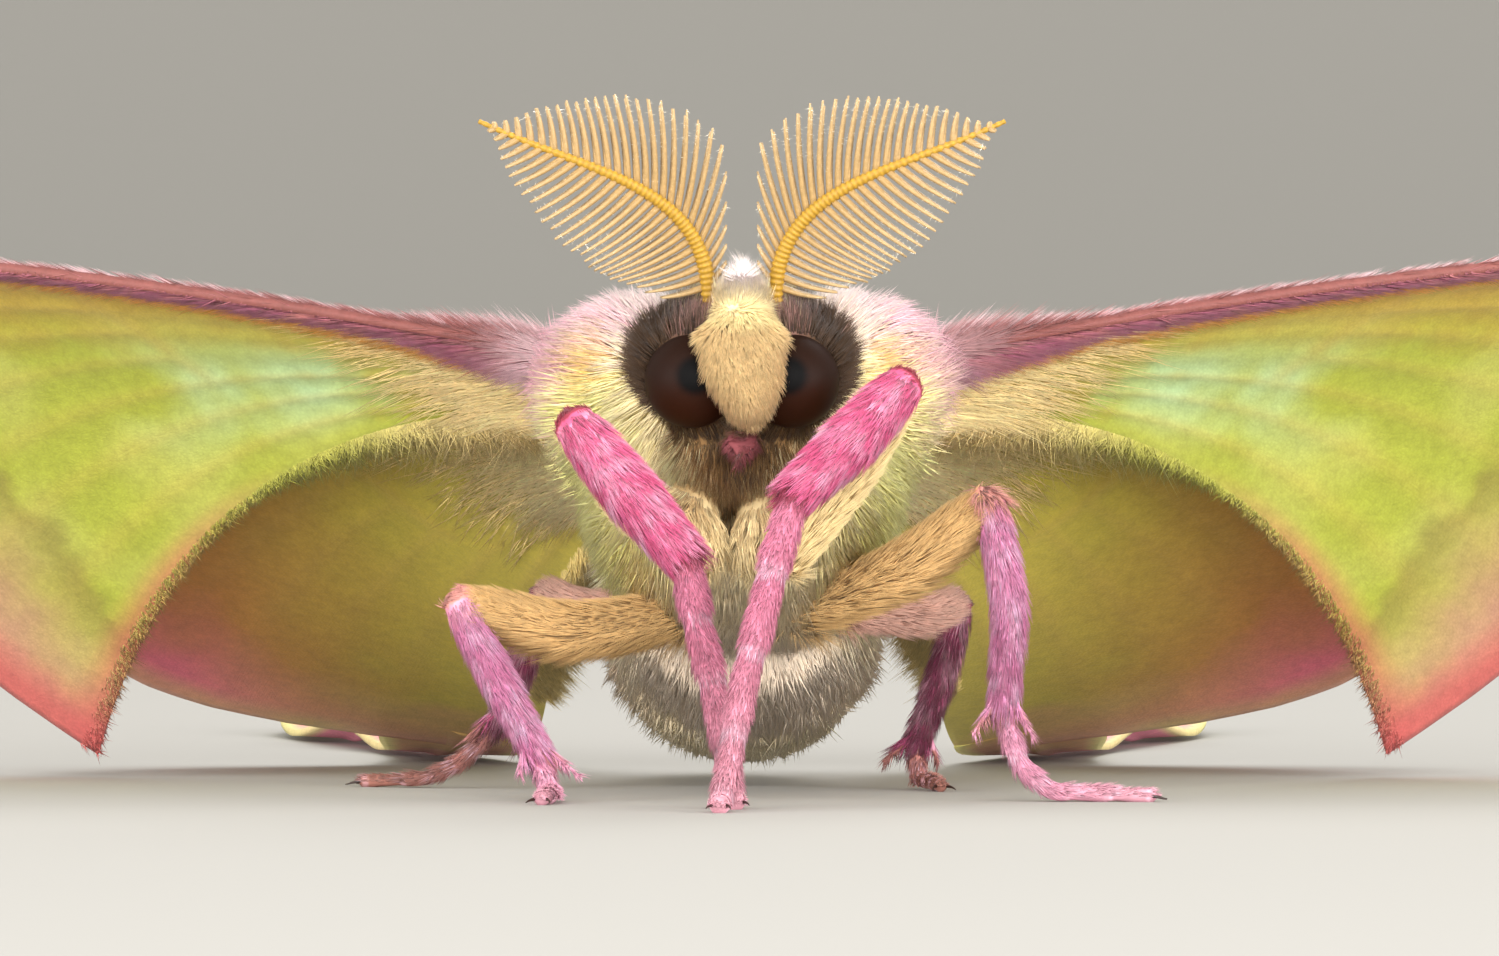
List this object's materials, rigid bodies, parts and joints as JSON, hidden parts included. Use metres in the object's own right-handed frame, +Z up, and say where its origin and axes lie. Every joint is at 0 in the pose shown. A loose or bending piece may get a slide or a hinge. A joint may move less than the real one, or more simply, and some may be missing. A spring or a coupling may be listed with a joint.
{
  "type": "chinese moon moth",
  "caption": "Life-size still model of a standing silk moth with spread wings, feathery feelers, furry body and long hindwing tails.",
  "frame": {"origin": "bottom centre of the bounding box, on the floor that the feet, belly and tails rest on", "axes": "+Z up, -Y the way the moth faces, +X to the moth's left"},
  "size_m": [0.0882, 0.0988, 0.0224],
  "materials": {
    "body_coat": "long cream fur with pale lemon sides and pink at the wing roots",
    "belly_coat": "long beige fur",
    "face_coat": "cream tuft with a dark brown ring round each eye",
    "eyes": "dark brown compound eye",
    "palps": "short pink-red scales",
    "feelers": "amber yellow, finely haired",
    "forewings": "fine scales, yellow-green with a mauve leading edge",
    "hindwings": "fine scales, olive yellow to pink",
    "tails": "fine scales, pink with a yellow-green end",
    "fore_thighs": "short dark red-brown scales",
    "fore_shins": "pink scales",
    "mid_thighs": "cream beige hair",
    "rear_shins": "pink-lilac scales",
    "feet": "dusty rose scales with dark claws"
  },
  "bodies": {
    "root": {"thorax": "body_coat", "abdomen": "belly_coat", "head": "face_coat", "eye_left": "eyes", "eye_right": "eyes", "palp_left": "palps", "palp_right": "palps", "antenna_left": "feelers", "antenna_right": "feelers", "forewing_left": "forewings", "forewing_right": "forewings", "hindwing_left": "hindwings", "hindwing_right": "hindwings", "tail_left": "tails", "tail_right": "tails", "fore_left_coxa": "body_coat", "fore_right_coxa": "body_coat", "fore_left_femur": "fore_thighs", "fore_left_tibia": "fore_shins", "fore_left_tarsus": "feet", "fore_right_femur": "fore_thighs", "fore_right_tibia": "fore_shins", "fore_right_tarsus": "feet", "mid_left_femur": "mid_thighs", "mid_left_tibia": "rear_shins", "mid_left_tarsus": "feet", "mid_right_femur": "mid_thighs", "mid_right_tibia": "rear_shins", "mid_right_tarsus": "feet", "hind_left_femur": "mid_thighs", "hind_left_tibia": "rear_shins", "hind_left_tarsus": "feet", "hind_right_femur": "mid_thighs", "hind_right_tibia": "rear_shins", "hind_right_tarsus": "feet"}
  },
  "joints": []
}
